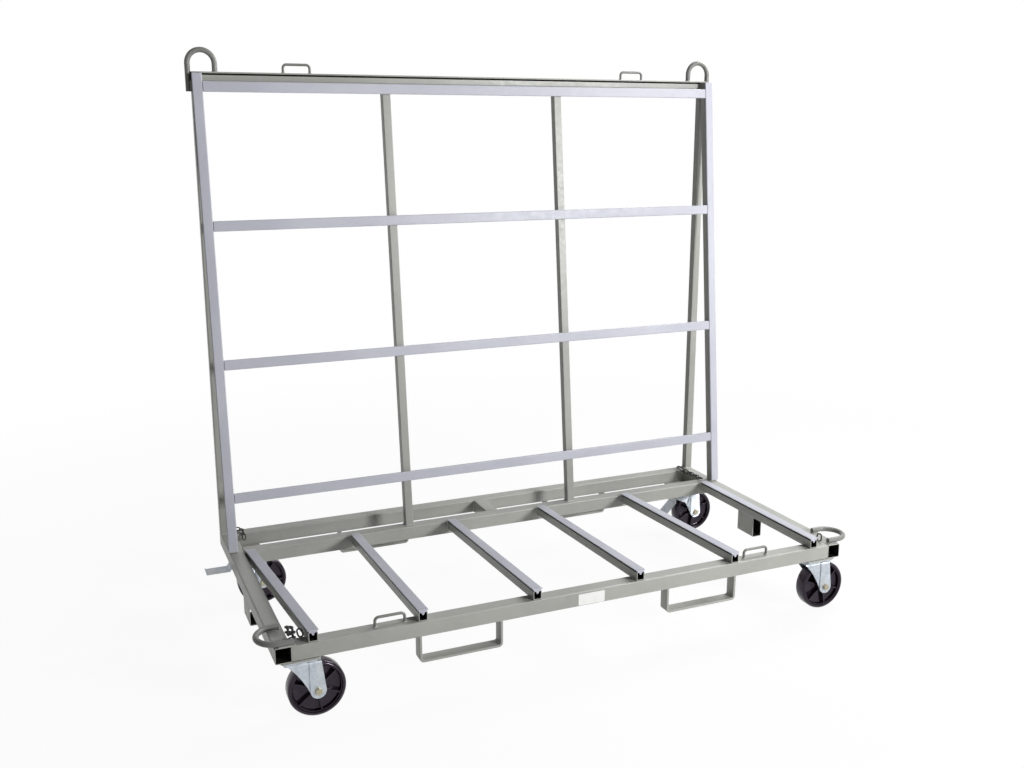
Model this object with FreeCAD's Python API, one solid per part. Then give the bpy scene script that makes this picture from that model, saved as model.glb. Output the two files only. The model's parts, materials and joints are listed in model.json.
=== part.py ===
import FreeCAD, Part
import math
import os

# Panel trolley with a leaning back frame, padded deck strips and four swivel casters.
# Sizes are millimetres. X runs along the trolley, Y from the open front to the back, Z up from the floor.

# Overall frame
frame_length = 2000.0
frame_depth = 990.0
deck_level = 263.0
half_length = frame_length / 2
front = -frame_depth / 2
rear = frame_depth / 2

# Base beams, square tube
beam = 50.0
beam_wall = 3.0
beam_corner = 5.0
corner_steps = 2
middle_beam_setback = 762.0
beam_under = deck_level - beam

# Back frame, small square tube
post = 30.0
post_wall = 2.0
post_corner = 3.0
lean_foot = 760.0
lean_rise = 1611.0
lean_run = 163.5
lean_angle = math.degrees(math.atan2(lean_run, lean_rise))
upright_top = deck_level + lean_rise
top_beam_level = 1880.0
cap_thickness = 5.5
cap_groove = 2.5
cap_inset = 3.0
cap_corner = 2.0
mid_posts = {"left": -341.0, "right": 327.0}

# Back rungs, measured along the lean from the deck level
rung_depth = 15.0
rung_wall = 1.5
rung_corner = 2.0
rung_pad_tops = {"lower": 209.0, "middle": 672.0, "upper": 1139.0, "top": 1594.0}
rung_pad_height = 35.0
upright_pad_width = 33.0
upright_pad_reach = 1004.0
back_pad_thickness = 6.0
back_pad_edge = 2.0
pad_foot_gap = 4.0

# Deck strips, channel rail with a snap-in pad
rail_width = 28.0
rail_height = 29.0
rail_wall = 2.5
deck_pad_width = 34.0
deck_pad_thickness = 7.0
deck_pad_edge = 2.0
pad_neck_width = 25.0
pad_neck_height = 3.0
pad_root_width = 12.0
pad_root_tip = 4.0
pad_root_depth = 9.0
rail_front_gap = 2.0
rail_seat = 25.0
strip_fronts = [-887.0, -555.0, -179.0, 190.0, 558.0, 887.0]
strip_rears = [-932.0, -555.0, -185.0, 185.0, 555.0, 932.0]

# Lifting eyes, bent round bar
eye_bar = 18.0
eye_bar_sides = 12
eye_bend_steps = 5
eye_span = 88.0
top_eye_height = 1959.0
top_eye_tail = 1816.0
front_eye_rear_arm = 123.0
front_eye_setbacks = {"left": 9.0, "right": 20.0}
front_eye_reaches = {"left": 1048.0, "right": 1066.0}
front_arm_ends = {"left": 941.0, "right": 963.0}
rear_arm_ends = {"left": 963.0, "right": 976.0}

# Strap handles, bent rod
handle_rod = 9.0
handle_rod_sides = 6
handle_bend_steps = 3
handle_span = 92.0
handle_height = 33.0
handle_bend = 12.0
top_handles = (-648.0, 661.0)
front_handles = (-652.0, 655.0)

# Forklift loops, bent flat bar
loop_thickness = 8.0
loop_depth = 40.0
loop_width = 272.0
loop_drop = 87.0
loop_bend = 10.0
loop_bend_steps = 3
loop_offset = 431.0

# Side sockets, rectangular tube
socket_width = 40.0
socket_drop = 80.0
socket_length = 100.0
socket_wall = 3.0
socket_corner = 5.0

# Caster mounting
caster_offset = 925.0
caster_setback = 70.0
corner_plate_x = 116.0
corner_plate_y = 140.0
corner_plate_thickness = 6.0
caster_plate_x = 106.0
caster_plate_y = 132.0
caster_plate_thickness = 5.0
plate_corner = 8.0
stud_spacing_x = 80.0
stud_spacing_y = 105.0
stud_diameter = 10.0
stud_sides = 6
stud_hole = 11.0
nut_across_flats = 17.0
nut_thickness = 8.0
race_outer = 42.0
race_inner = 24.0
race_height = 12.0
race_sides = 16
kingpin_diameter = 12.0
pin_sides = 12
kingpin_nut_flats = 19.0
kingpin_nut_thickness = 8.0
swivel_gap = 0.4

# Caster fork, pressed sheet
trail = 54.0
fork_sheet = 4.0
fork_half_width = 36.0
fork_bend = 10.0
fork_top = 186.0
crown_radius = 44.0
fork_heel = -40.0
fork_toe = 66.0
leg_round = 24.0
leg_curve_mid = (8.0, 138.0)
leg_left_angle = 207.0
leg_right_angle = 6.0
leg_curve_steps = 4
leg_round_steps = 7
strap_left = 30.0
strap_step = 3.0

# Caster wheel
wheel_diameter = 175.0
wheel_sides = 36
tread_half_width = 24.0
tread_edge = 6.0
rim_inner = 75.0
rim_lip_depth = 5.0
web_half = 5.0
hub_radius = 23.0
hub_half = 28.0
hub_sides = 18
rib_count = 6
wheel_turns = {"front_left": 9.0, "front_right": 11.0, "rear_left": 25.0, "rear_right": -8.0}
rib_thickness = 5.0
pocket_inner = 27.0
pocket_outer = 72.0
bush_outer = 9.0
bush_half = 31.7
bush_sides = 12
axle_diameter = 12.0
axle_flats = 19.0
axle_head = 8.0
running_gap = 0.05

# Brake pedal on the rear casters
pivot = (-42.0, 165.0)
pin_diameter = 8.0
ear_radius = 10.0
pedal_hub_radius = 8.0
pedal_half_width = 27.0
pedal_sheet = 4.0
pedal_knee = (-60.0, 142.0)
pedal_tip = -141.5
pedal_lip = 7.0
shoe_reach = 34.6
shoe_half_width = 20.0
shoe_thickness = 7.0
shoe_angle = -84.0
pressed_angle = 45.0
pin_end = 2.0

# Chains and their end fittings, closed links given as inner length, inner width and wire
link_sizes = {"link": (20.0, 7.0, 4.0), "shackle": (24.0, 10.0, 5.0), "hook": (54.0, 12.0, 6.0)}
link_wire_sides = 4
link_bend_steps = 2
link_slack = 0.6
coil_climb = 12.0
coil_links = 8

os.makedirs("parts", exist_ok=True)


def vec(x, y, z):
    return FreeCAD.Vector(x, y, z)


def export(shape, node):
    shape.exportStep("parts/" + node + ".step")


def mirrored(shape):
    return shape.mirror(vec(0, 0, 0), vec(1, 0, 0))


def pair(shape):
    return Part.makeCompound([shape, mirrored(shape)])


def block(low, high):
    size = [high[i] - low[i] for i in range(3)]
    return Part.makeBox(size[0], size[1], size[2], vec(*low))


def slab(low_z, high_z):
    reach = frame_length
    return block((-reach, -reach, low_z), (reach, reach, high_z))


# Flat outlines as lists of points
def arc_points(centre, radius, first, last, steps):
    points = []
    for i in range(steps + 1):
        turn = math.radians(first + (last - first) * i / steps)
        points.append((centre[0] + radius * math.cos(turn), centre[1] + radius * math.sin(turn)))
    return points


def ring(radius, sides):
    half_step = 180 / sides
    return arc_points((0, 0), radius, half_step, 360 - half_step, sides - 1)


def ring_around(radius, sides):
    return ring(radius / math.cos(math.pi / sides), sides)


def rounded_rectangle(low, high, corner):
    points = []
    spots = ((high[0], high[1], -1, -1, 0), (low[0], high[1], 1, -1, 90), (low[0], low[1], 1, 1, 180),
             (high[0], low[1], -1, 1, 270))
    for x, y, side_x, side_y, start in spots:
        centre = (x + side_x * corner, y + side_y * corner)
        points += arc_points(centre, corner, start, start + 90, corner_steps)
    return points


# Solids from outlines
def placed(u, v, w, axis):
    return ((w, u, v), (u, w, v), (u, v, w))[axis]


def extrude(outline, axis, low, high):
    points = [vec(*placed(u, v, low, axis)) for u, v in outline]
    direction = vec(*placed(0, 0, high - low, axis))
    return Part.Face(Part.makePolygon(points + [points[0]])).extrude(direction)


def bar(low, high, axis, corner):
    cross = [i for i in range(3) if i != axis]
    outline = rounded_rectangle([low[i] for i in cross], [high[i] for i in cross], corner)
    return extrude(outline, axis, low[axis], high[axis])


def tube(low, high, axis, wall, corner):
    inner_low = [low[i] + (-1.0 if i == axis else wall) for i in range(3)]
    inner_high = [high[i] + (1.0 if i == axis else -wall) for i in range(3)]
    return bar(low, high, axis, corner).cut(block(inner_low, inner_high))


def disc(radius, low_z, high_z, sides):
    return extrude(ring(radius, sides), 2, low_z, high_z)


def hole(radius, low_z, high_z, sides):
    return extrude(ring_around(radius, sides), 2, low_z, high_z)


def cross_bar(outline, half, centre):
    return extrude([(x + centre[0], z + centre[1]) for x, z in outline], 1, -half, half)


def skin(rings, closed):
    count = len(rings[0])
    faces = []
    spans = list(zip(rings, rings[1:] + rings[:1]))
    for near, far in spans if closed else spans[:-1]:
        for i in range(count):
            j = (i + 1) % count
            faces.append(Part.Face(Part.makePolygon([near[i], near[j], far[j], far[i], near[i]])))
    if not closed:
        faces += [Part.Face(Part.makePolygon(end + end[:1])) for end in (rings[0], rings[-1])]
    solid = Part.Solid(Part.Shell(faces))
    if solid.Volume < 0:
        solid.reverse()
    return solid


# Bars bent along a flat route, mitred at each step of a bend
def bent_route(corners, bend, steps, closed):
    corners = [vec(*c) for c in corners]
    count = len(corners)
    route = []
    for i, corner in enumerate(corners):
        if not closed and i in (0, count - 1):
            route.append(corner)
            continue
        back = (corners[i - 1] - corner).normalize()
        ahead = (corners[(i + 1) % count] - corner).normalize()
        centre = corner + (back + ahead) * bend
        for k in range(steps + 1):
            turn = math.pi / 2 * k / steps
            point = centre - ahead * bend * math.cos(turn) - back * bend * math.sin(turn)
            if not route or (point - route[-1]).Length > 0.001:
                route.append(point)
    if closed and (route[0] - route[-1]).Length < 0.001:
        route.pop()
    return route


def sweep(route, section, normal, closed):
    count = len(route)
    rings = []
    for i, point in enumerate(route):
        after = (route[(i + 1) % count] - point) if closed or i < count - 1 else point - route[i - 1]
        before = (point - route[i - 1]) if closed or i > 0 else after
        sides = normal.cross(before.normalize()) + normal.cross(after.normalize())
        mitre = sides * (2 / sides.dot(sides))
        rings.append([point + mitre * u + normal * v for u, v in section])
    return skin(rings, closed)


# Base beams
side_low = (half_length - beam, front, beam_under)
side_high = (half_length, rear, deck_level)
side = tube(side_low, side_high, 1, beam_wall, beam_corner)
export(side, "right_side_beam")
export(mirrored(side), "left_side_beam")
inner_half = half_length - beam
cross_beams = {"front_beam": 0.0, "middle_beam": middle_beam_setback, "rear_beam": frame_depth - beam}
for node, setback in cross_beams.items():
    low = (-inner_half, front + setback, beam_under)
    high = (inner_half, front + setback + beam, deck_level)
    export(tube(low, high, 0, beam_wall, beam_corner), node)
tie_front = front + middle_beam_setback + beam
tie = tube((-beam / 2, tie_front, beam_under), (beam / 2, rear - beam, deck_level), 1, beam_wall, beam_corner)
export(tie, "rear_tie")


# Back frame posts
def lean(shape):
    shape.rotate(vec(0, 0, 0), vec(1, 0, 0), -lean_angle)
    shape.translate(vec(0, front + lean_foot, deck_level))
    return shape


leg_low = (half_length - post, rear - post, deck_level)
leg_high = (half_length, rear, top_beam_level - post)
rear_leg = tube(leg_low, leg_high, 2, post_wall, post_corner)
export(rear_leg, "right_rear_leg")
export(mirrored(rear_leg), "left_rear_leg")
cap_level = top_beam_level - cap_thickness
neck_level = cap_level - cap_groove
top_low = (-half_length, rear - post, top_beam_level - post)
top_tube = tube(top_low, (half_length, rear, neck_level), 0, post_wall, post_corner)
neck_low = (-half_length, rear - post + cap_inset, neck_level)
top_neck = block(neck_low, (half_length, rear - cap_inset, cap_level))
top_cap = bar((-half_length, rear - post, cap_level), (half_length, rear, top_beam_level), 0, cap_corner)
export(top_tube.fuse([top_neck, top_cap]).removeSplitter(), "top_beam")
lean_length = lean_rise + 4 * post
rung_half = half_length - post
rung_back = back_pad_thickness + rung_depth
upright_low = (rung_half, back_pad_thickness, -post)
upright_high = (half_length, back_pad_thickness + post, lean_length)
upright = lean(tube(upright_low, upright_high, 2, post_wall, post_corner))
upright = upright.common(slab(deck_level, upright_top))
export(upright, "right_upright")
export(mirrored(upright), "left_upright")
for side_name, x in mid_posts.items():
    mid_low = (x - post / 2, rung_back, -post)
    mid_high = (x + post / 2, rung_back + post, lean_length)
    mid_post = lean(tube(mid_low, mid_high, 2, post_wall, post_corner))
    export(mid_post.common(slab(deck_level, top_beam_level - post)), side_name + "_mid_post")


# Back rungs and their buffer strips
def back_pad(low, high, axis):
    cross = 2 if axis == 0 else 0
    edge = back_pad_edge
    profile = [
        (low[cross], back_pad_thickness), (low[cross], edge), (low[cross] + edge, 0.0),
        (high[cross] - edge, 0.0), (high[cross], edge), (high[cross], back_pad_thickness),
    ]
    outline = [(y, z) for z, y in profile] if axis == 0 else profile
    return lean(extrude(outline, axis, low[axis], high[axis]))


overhang = (rung_pad_height - post) / 2
rung_buffers = []
for name, pad_top in rung_pad_tops.items():
    pad_low = pad_top - rung_pad_height
    low = (-rung_half, back_pad_thickness, pad_low + overhang)
    high = (rung_half, rung_back, pad_top - overhang)
    export(lean(tube(low, high, 0, rung_wall, rung_corner)), name + "_rung")
    rung_buffers.append(back_pad((-rung_half, 0.0, pad_low), (rung_half, 0.0, pad_top), 0))
export(Part.makeCompound(rung_buffers), "rung_buffers")
upright_pad_low = (upright_pad_reach - upright_pad_width, 0.0, -post)
upright_buffer = back_pad(upright_pad_low, (upright_pad_reach, 0.0, lean_length), 2)
upright_buffer = upright_buffer.common(slab(deck_level + pad_foot_gap, upright_top))
export(pair(upright_buffer), "upright_buffers")

# Deck strips
rail_slope = math.degrees(math.atan2(rail_height, middle_beam_setback - rail_seat))
strip_length = middle_beam_setback - rail_front_gap
strip_low = (-half_length, front + rail_front_gap, 0.0)
strip_high = (half_length, front + middle_beam_setback, top_beam_level)
strip_zone = block(strip_low, strip_high)
front_beam_low = (-inner_half, front, beam_under)
front_beam_high = (inner_half, front + beam, deck_level)
front_beam_zone = bar(front_beam_low, front_beam_high, 0, beam_corner)
half_rail = rail_width / 2
half_cavity = half_rail - rail_wall
rail_outline = [
    (-half_rail, 0), (half_rail, 0), (half_rail, rail_height), (half_cavity, rail_height),
    (half_cavity, rail_wall), (-half_cavity, rail_wall), (-half_cavity, rail_height),
    (-half_rail, rail_height),
]
half_pad = deck_pad_width / 2
pad_crest = rail_height + deck_pad_thickness
root_tip_level = rail_height - pad_root_depth
half_neck = pad_neck_width / 2
brim_level = rail_height + pad_neck_height
pad_outline = [
    (-half_pad, brim_level), (-half_neck, brim_level), (-half_neck, rail_height),
    (-pad_root_width / 2, rail_height), (-pad_root_tip / 2, root_tip_level),
    (pad_root_tip / 2, root_tip_level), (pad_root_width / 2, rail_height),
    (half_neck, rail_height), (half_neck, brim_level), (half_pad, brim_level),
]
edge_x = half_pad - deck_pad_edge
edge_z = pad_crest - deck_pad_edge
pad_outline += arc_points((edge_x, edge_z), deck_pad_edge, 0, 90, corner_steps)
pad_outline += arc_points((-edge_x, edge_z), deck_pad_edge, 90, 180, corner_steps)


def lay_strip(outline, front_x, rear_x):
    splay = math.degrees(math.atan2(rear_x - front_x, strip_length))
    seat_x = front_x + (rear_x - front_x) * rail_seat / strip_length
    strip = extrude(outline, 1, -2 * rail_seat, middle_beam_setback + rail_seat)
    strip.rotate(vec(0, 0, 0), vec(1, 0, 0), -rail_slope)
    strip.rotate(vec(0, 0, 0), vec(0, 0, 1), -splay)
    strip.translate(vec(seat_x, front + rail_seat, deck_level))
    return strip.common(strip_zone)


deck_buffers = []
for i, front_x in enumerate(strip_fronts):
    rail = lay_strip(rail_outline, front_x, strip_rears[i])
    export(rail.cut(front_beam_zone), "deck_rail_" + str(i + 1))
    deck_buffers.append(lay_strip(pad_outline, front_x, strip_rears[i]))
export(Part.makeCompound(deck_buffers), "deck_buffers")

# Lifting eyes
eye_bend = eye_span / 2
eye_plane = rear - post / 2
eye_outer_x = half_length + eye_bar / 2
eye_inner_x = eye_outer_x - eye_span
eye_crest = top_eye_height - eye_bar / 2
eye_section = ring_around(eye_bar / 2, eye_bar_sides)
top_eye_corners = [
    (eye_outer_x, eye_plane, top_eye_tail), (eye_outer_x, eye_plane, eye_crest),
    (eye_inner_x, eye_plane, eye_crest), (eye_inner_x, eye_plane, top_beam_level),
]
top_route = bent_route(top_eye_corners, eye_bend, eye_bend_steps, False)
export(pair(sweep(top_route, eye_section, vec(0, 1, 0), False)), "top_lifting_eyes")
flat_level = deck_level + eye_bar / 2
eye_rear_y = front + front_eye_rear_arm


def front_eye(side):
    eye_front_y = front + front_eye_setbacks[side]
    reach_x = front_eye_reaches[side] - eye_bar / 2
    corners = [
        (front_arm_ends[side], eye_front_y, flat_level), (reach_x, eye_front_y, flat_level),
        (reach_x, eye_rear_y, flat_level), (rear_arm_ends[side], eye_rear_y, flat_level),
    ]
    route = bent_route(corners, (eye_rear_y - eye_front_y) / 2, eye_bend_steps, False)
    return sweep(route, eye_section, vec(0, 0, 1), False)


export(Part.makeCompound([front_eye("right"), mirrored(front_eye("left"))]), "front_lifting_eyes")

# Strap handles
handle_section = ring(handle_rod / 2, handle_rod_sides)


def strap_handle(x, y, z):
    left = x - handle_span / 2
    right = x + handle_span / 2
    crest = z + handle_height - handle_rod / 2
    corners = [(left, y, z), (left, y, crest), (right, y, crest), (right, y, z)]
    route = bent_route(corners, handle_bend, handle_bend_steps, False)
    return sweep(route, handle_section, vec(0, 1, 0), False)


top_handle_solids = [strap_handle(x, eye_plane, top_beam_level) for x in top_handles]
export(Part.makeCompound(top_handle_solids), "top_strap_handles")
front_handle_solids = [strap_handle(x, front + beam / 2, deck_level) for x in front_handles]
export(Part.makeCompound(front_handle_solids), "front_strap_handles")

# Forklift loops
loop_half = loop_width / 2 - loop_thickness / 2
loop_low = beam_under - loop_drop + loop_thickness / 2
loop_left = loop_offset - loop_half
loop_right = loop_offset + loop_half
half_bar = loop_thickness / 2
half_depth = loop_depth / 2
loop_section = [
    (-half_bar, -half_depth), (half_bar, -half_depth), (half_bar, half_depth), (-half_bar, half_depth),
]
for node, y in (("front_fork_loops", front + beam / 2), ("rear_fork_loops", rear - beam / 2)):
    corners = [
        (loop_left, y, beam_under), (loop_left, y, loop_low),
        (loop_right, y, loop_low), (loop_right, y, beam_under),
    ]
    route = bent_route(corners, loop_bend, loop_bend_steps, False)
    export(pair(sweep(route, loop_section, vec(0, 1, 0), False)), node)

# Side sockets
socket_mid = half_length - beam / 2
socket_low = (socket_mid - socket_width / 2, -socket_length / 2, beam_under - socket_drop)
socket_high = (socket_mid + socket_width / 2, socket_length / 2, beam_under)
export(pair(tube(socket_low, socket_high, 1, socket_wall, socket_corner)), "side_sockets")

# Caster mounting
caster_places = {
    "front_left": (-caster_offset, front + caster_setback),
    "front_right": (caster_offset, front + caster_setback),
    "rear_left": (-caster_offset, rear - caster_setback),
    "rear_right": (caster_offset, rear - caster_setback),
}
corner_under = beam_under - corner_plate_thickness
plate_under = corner_under - caster_plate_thickness
race_under = plate_under - race_height
web_under = fork_top - fork_sheet
pin_radius = kingpin_diameter / 2


def at(shape, place):
    moved = shape.copy()
    moved.translate(vec(place[0], place[1], 0))
    return moved


def at_all(shapes):
    return Part.makeCompound([at(shape, place) for place in caster_places.values() for shape in shapes])


def plate(size_x, size_y, low_z, high_z):
    low = (-size_x / 2, -size_y / 2, low_z)
    high = (size_x / 2, size_y / 2, high_z)
    return bar(low, high, 2, plate_corner)


def hexagon(across_flats):
    return ring_around(across_flats / 2, 6)


export(at_all([plate(corner_plate_x, corner_plate_y, corner_under, beam_under)]), "corner_plates")
caster_plate = plate(caster_plate_x, caster_plate_y, plate_under, corner_under)
caster_plate = caster_plate.cut(hole(pin_radius + running_gap, plate_under - 1, corner_under + 1, pin_sides))
nuts = []
for x in (-stud_spacing_x / 2, stud_spacing_x / 2):
    for y in (-stud_spacing_y / 2, stud_spacing_y / 2):
        stud_passage = hole(stud_hole / 2, plate_under - 1, corner_under + 1, stud_sides)
        stud_passage.translate(vec(x, y, 0))
        caster_plate = caster_plate.cut(stud_passage)
        nut = extrude(hexagon(nut_across_flats), 2, plate_under - nut_thickness, plate_under)
        stud = disc(stud_diameter / 2, plate_under - nut_thickness, corner_under, stud_sides)
        fastener = nut.fuse(stud)
        fastener.translate(vec(x, y, 0))
        nuts.append(fastener)
export(at_all([caster_plate]), "caster_plates")
export(at_all(nuts), "caster_nuts")
bearing = disc(race_outer, race_under, plate_under, race_sides)
bearing = bearing.cut(hole(race_inner, race_under - 1, plate_under + 1, race_sides))
export(at_all([bearing]), "swivel_bearings")
kingpin_nut_top = web_under - swivel_gap
kingpin_nut = extrude(hexagon(kingpin_nut_flats), 2, kingpin_nut_top - kingpin_nut_thickness, kingpin_nut_top)
kingpin = disc(pin_radius, kingpin_nut_top, corner_under, pin_sides).fuse(kingpin_nut)
export(at_all([kingpin]), "kingpins")

# Caster fork
wheel_radius = wheel_diameter / 2
axle_radius = axle_diameter / 2
axle_centre = (trail, wheel_radius)
crown_top = race_under - swivel_gap


def fork_profile():
    heel = vec(fork_heel, fork_top, 0)
    belly = vec(leg_curve_mid[0], leg_curve_mid[1], 0)
    foot = arc_points(axle_centre, leg_round, leg_left_angle, leg_right_angle + 360, leg_round_steps)
    left = vec(foot[0][0], foot[0][1], 0)
    edge = Part.Arc(heel, belly, left).toShape().discretize(leg_curve_steps + 1)
    outline = [(p.x, p.y) for p in edge[:-1]] + foot + [(fork_toe, fork_top)]
    return cross_bar(outline, fork_half_width, (0, 0))


# Bent channel of the fork, cut to the reach of one stretch of its length
def channel(half, low_x, high_x):
    reach = 2 * wheel_diameter
    shell = bar((low_x, -half, -reach), (high_x, half, fork_top), 0, fork_bend)
    inner_half = half - fork_sheet
    cavity_low = (low_x - 1, -inner_half, -reach - 1)
    cavity_high = (high_x + 1, inner_half, web_under)
    return shell.cut(bar(cavity_low, cavity_high, 0, fork_bend - fork_sheet))


def make_fork(braked):
    half = fork_half_width
    reach = 2 * wheel_diameter
    strap = channel(half, strap_left, reach)
    gusset = channel(half - strap_step, -reach, strap_left + fork_sheet)
    profile = fork_profile()
    if braked:
        ear_top = fork_top - fork_bend
        ear = [(pivot[0], pivot[1] + ear_radius), (fork_heel, ear_top), (0, ear_top)]
        ear += [leg_curve_mid, (pivot[0], pivot[1] - ear_radius)]
        ear_eye = cross_bar(ring(ear_radius, pin_sides), half, pivot)
        profile = profile.fuse([cross_bar(ear, half, (0, 0)), ear_eye])
    fork = strap.fuse(gusset).common(profile)
    fork = fork.fuse(disc(crown_radius, fork_top, crown_top, race_sides))
    fork = fork.cut(hole(pin_radius + running_gap, web_under - 1, crown_top + 1, pin_sides))
    fork = fork.cut(cross_bar(ring(axle_radius + running_gap, pin_sides), 2 * half, axle_centre))
    if braked:
        fork = fork.cut(cross_bar(ring(pin_diameter / 2 + running_gap, pin_sides), 2 * half, pivot))
    return fork.removeSplitter()


# Caster wheel, one moulding with drafted tread edges and pockets between its ribs
def wheel_ring(radius, y):
    return [vec(x, y, z) for x, z in ring_around(radius, wheel_sides)]


def pocket_outline(bearing_angle):
    half_sector = 180 / rib_count
    half_rib = rib_thickness / 2
    outer = half_sector - math.degrees(math.asin(half_rib / pocket_outer))
    inner = half_sector - math.degrees(math.asin(half_rib / pocket_inner))
    outline = arc_points((0, 0), pocket_outer, bearing_angle - outer, bearing_angle + outer, corner_steps)
    return outline + arc_points((0, 0), pocket_inner, bearing_angle + inner, bearing_angle - inner, 1)


def make_wheel(turn):
    shoulder = tread_half_width - tread_edge
    tread = [(-tread_half_width, tread_edge), (-shoulder, 0), (shoulder, 0), (tread_half_width, tread_edge)]
    wheel = skin([wheel_ring(wheel_radius - drop, y) for y, drop in tread], False)
    rib_level = tread_half_width - rim_lip_depth
    for low_y, high_y in ((rib_level, tread_half_width + 1), (-tread_half_width - 1, -rib_level)):
        recess = extrude(ring(rim_inner, hub_sides), 1, low_y, high_y)
        wheel = wheel.cut(recess)
    wheel = wheel.fuse(cross_bar(ring(hub_radius, hub_sides), hub_half, (0, 0)))
    pockets = []
    for i in range(rib_count):
        outline = pocket_outline(turn + 360 / rib_count * i)
        pockets.append(extrude(outline, 1, web_half, tread_half_width))
        pockets.append(extrude(outline, 1, -tread_half_width, -web_half))
    wheel = wheel.cut(pockets)
    wheel = wheel.cut(cross_bar(ring(bush_outer + running_gap, bush_sides), 2 * hub_half, (0, 0)))
    wheel.translate(vec(trail, 0, wheel_radius))
    return wheel


def make_axle():
    half = fork_half_width
    axle = cross_bar(ring(axle_radius, pin_sides), half, axle_centre)
    hex_end = [(x + trail, z + wheel_radius) for x, z in hexagon(axle_flats)]
    head = extrude(hex_end, 1, -half - axle_head, -half)
    nut = extrude(hex_end, 1, half, half + axle_head)
    return axle.fuse([head, nut])


def make_bush():
    bore = cross_bar(ring_around(axle_radius + running_gap, pin_sides), 2 * bush_half, axle_centre)
    return cross_bar(ring(bush_outer, bush_sides), bush_half, axle_centre).cut(bore)


# Brake pedal, a bent tread plate with a hub and a shoe that swings to the tyre
def make_pedal():
    knee_x, knee_z = pedal_knee
    top_z = knee_z + pedal_sheet
    outline = [
        pivot, (pivot[0] - pedal_hub_radius + 1, pivot[1] + 2), (knee_x - pedal_sheet, top_z),
        (pedal_tip + pedal_sheet, top_z), (pedal_tip + pedal_sheet / 2, knee_z + pedal_lip),
        (pedal_tip, knee_z + pedal_lip), (pedal_tip, knee_z + 1), (pedal_tip + 1, knee_z), (knee_x, knee_z),
    ]
    half_shoe = shoe_thickness / 2
    shoe = block((0, -shoe_half_width, -half_shoe), (shoe_reach, shoe_half_width, half_shoe))
    shoe.rotate(vec(0, 0, 0), vec(0, 1, 0), -shoe_angle)
    shoe.translate(vec(pivot[0], 0, pivot[1]))
    hub = cross_bar(ring(pedal_hub_radius, pin_sides), pedal_half_width, pivot)
    pedal = cross_bar(outline, pedal_half_width, (0, 0)).fuse([hub, shoe])
    bore = cross_bar(ring_around(pin_diameter / 2 + running_gap, pin_sides), 2 * pedal_half_width, pivot)
    return pedal.cut(bore).removeSplitter()


for name, place in caster_places.items():
    braked = name.startswith("rear")
    export(at(make_fork(braked), place), name + "_fork")
    export(at(make_wheel(wheel_turns[name]), place), name + "_wheel")
    export(at(make_bush(), place), name + "_wheel_bush")
    export(at(make_axle(), place), name + "_axle_bolt")
    if braked:
        pedal = make_pedal()
        if name == "rear_right":
            pedal.rotate(vec(pivot[0], 0, pivot[1]), vec(0, 1, 0), -pressed_angle)
        export(at(pedal, place), name + "_brake_pedal")
        brake_pin = cross_bar(ring(pin_diameter / 2, pin_sides), fork_half_width + pin_end, pivot)
        export(at(brake_pin, place), name + "_brake_pin")

# Chains, each link given by its kind and by the bearing and climb of its length
coil = [("link", 90 * i, coil_climb) for i in range(coil_links)]
taut_run = [("link", 92, 0)] * 5 + [("shackle", 112, 0), ("hook", 80, 2)]
draped_run = [("link", -5, -4), ("link", -38, 0), ("link", -71, 4), ("link", -88, -29), ("link", -90, -61)]
chains = [
    ((-943.0, 36.0, 269.0), coil),
    ((940.0, 800.0, 271.0), taut_run),
    ((-955.0, 979.0, 272.8), draped_run),
    ((-916.0, 46.0, 277.0), [("shackle", 92, 30)]),
    ((941.0, 40.0, 280.5), [("shackle", 230, 90)]),
]


def make_link(kind):
    length, width, wire = link_sizes[kind]
    half_long = (length + wire) / 2
    half_wide = (width + wire) / 2
    corners = [
        (half_long, half_wide, 0), (-half_long, half_wide, 0),
        (-half_long, -half_wide, 0), (half_long, -half_wide, 0),
    ]
    route = bent_route(corners, half_wide, link_bend_steps, True)
    return sweep(route, ring(wire / 2, link_wire_sides), vec(0, 0, 1), True)


def heading(bearing, climb):
    return FreeCAD.Rotation(bearing, -climb, 0).multVec(vec(1, 0, 0))


# Step from the middle of one link to the middle of the next, hung wire to wire
def link_step(near, far, near_is_flat):
    near_kind, near_bearing, near_climb = near
    far_kind, far_bearing, far_climb = far
    near_length, near_width, near_wire = link_sizes[near_kind]
    far_length = link_sizes[far_kind][0]
    swing = heading(far_bearing, near_climb) if near_is_flat else heading(near_bearing, far_climb)
    step = heading(near_bearing, near_climb) * ((near_length - near_width) / 2)
    step += swing * ((near_width + near_wire) / 2 - link_slack / 2)
    return step + heading(far_bearing, far_climb) * ((far_length - near_wire - link_slack) / 2)


links = []
fittings = []
for start, pieces in chains:
    middle = vec(start[0], front + start[1], start[2])
    for i, (kind, bearing, climb) in enumerate(pieces):
        is_flat = i % 2 == 0
        if i:
            middle = middle + link_step(pieces[i - 1], pieces[i], not is_flat)
        link = make_link(kind)
        link.Placement = FreeCAD.Placement(middle, FreeCAD.Rotation(bearing, -climb, 0 if is_flat else 90))
        if kind == "link":
            links.append(link)
        else:
            fittings.append(link)
export(Part.makeCompound(links), "chains")
export(Part.makeCompound(fittings), "chain_fittings")
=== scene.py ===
import json
import math

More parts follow.
